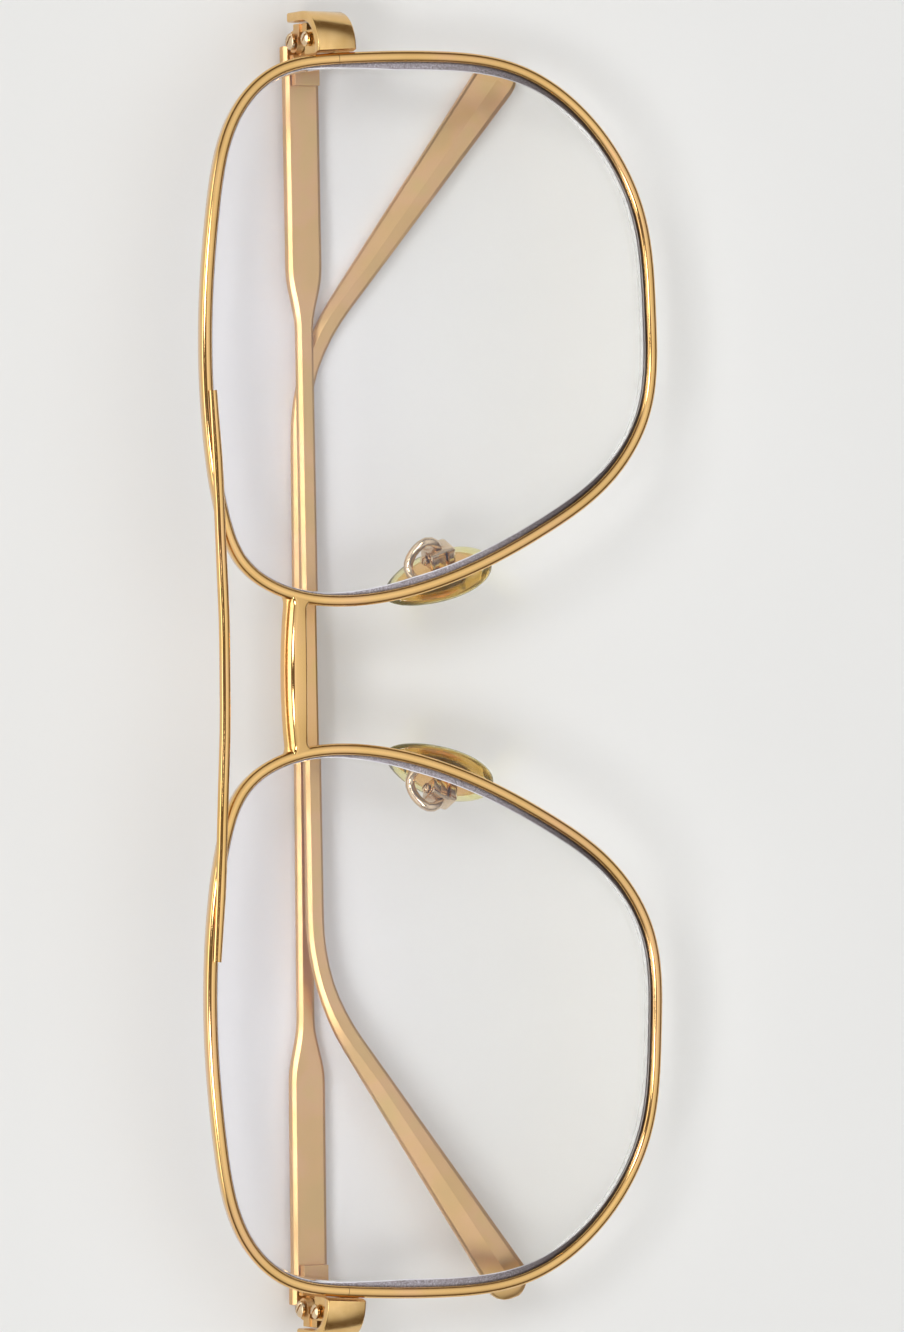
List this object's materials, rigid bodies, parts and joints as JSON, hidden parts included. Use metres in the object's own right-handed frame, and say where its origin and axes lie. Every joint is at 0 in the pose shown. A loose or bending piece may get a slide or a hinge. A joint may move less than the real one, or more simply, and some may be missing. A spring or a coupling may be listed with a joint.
{
  "type": "folding metal spectacles",
  "caption": "Gold-coloured wire navigator glasses with a double bridge, clear lenses, rocking nose pads and temples that fold flat behind the front.",
  "frame": {"origin": "middle of the front, level with the lens centres, on the surface that the folded glasses lie on", "axes": "+X towards the wearer's left, +Y towards the brow, +Z out of the front of the lenses; the temples are folded behind the front, under it"},
  "size_m": [0.1428, 0.0549, 0.0156],
  "materials": {
    "polished_gold": "polished gold plate",
    "satin_gold": "satin gold plate",
    "champagne_gold": "satin champagne gold plate",
    "screw_gold": "turned gold-coloured screw",
    "clear_lens": "clear coated lens with a faint lavender reflection",
    "clear_pad": "clear soft pad with a faint yellow tint"
  },
  "bodies": {
    "front": {"bridge": "polished_gold", "brow_bar": "polished_gold", "rim_left": "polished_gold", "rim_right": "polished_gold", "lens_left": "clear_lens", "lens_right": "clear_lens", "end_piece_left": "satin_gold", "end_piece_right": "satin_gold", "rim_lock_upper_left": "satin_gold", "rim_lock_upper_right": "satin_gold", "rim_lock_lower_left": "satin_gold", "rim_lock_lower_right": "satin_gold", "rim_lock_screw_left": "screw_gold", "rim_lock_screw_right": "screw_gold", "hinge_leaf_front_left": "satin_gold", "hinge_leaf_front_right": "satin_gold", "hinge_screw_left": "screw_gold", "hinge_screw_right": "screw_gold", "pad_arm_left": "polished_gold", "pad_arm_right": "polished_gold", "pad_box_left": "polished_gold", "pad_box_right": "polished_gold", "pad_screw_left": "screw_gold", "pad_screw_right": "screw_gold"},
    "left_temple": {"temple_left": "champagne_gold", "hinge_leaf_temple_left": "satin_gold"},
    "right_temple": {"temple_right": "champagne_gold", "hinge_leaf_temple_right": "satin_gold"},
    "left_pad": {"nose_pad_left": "clear_pad", "pad_insert_left": "polished_gold"},
    "right_pad": {"nose_pad_right": "clear_pad", "pad_insert_right": "polished_gold"}
  },
  "joints": [
    {"name": "left_hinge", "type": "hinge", "parent": "front", "child": "left_temple", "pos_m": [0.0683, 0.0103, 0.0038], "axis": [0, -1, 0], "range_deg": [0, 91.4]},
    {"name": "right_hinge", "type": "hinge", "parent": "front", "child": "right_temple", "pos_m": [-0.0683, 0.0103, 0.0038], "axis": [0, 1, 0], "range_deg": [0, 89.7]},
    {"name": "left_pad_rock", "type": "hinge", "parent": "front", "child": "left_pad", "pos_m": [0.01294, -0.00178, 0.00968], "axis": [-0.342, 0.9397, 0], "range_deg": [-8, 8]},
    {"name": "right_pad_rock", "type": "hinge", "parent": "front", "child": "right_pad", "pos_m": [-0.01294, -0.00178, 0.00968], "axis": [0.342, 0.9397, 0], "range_deg": [-8, 8]}
  ]
}
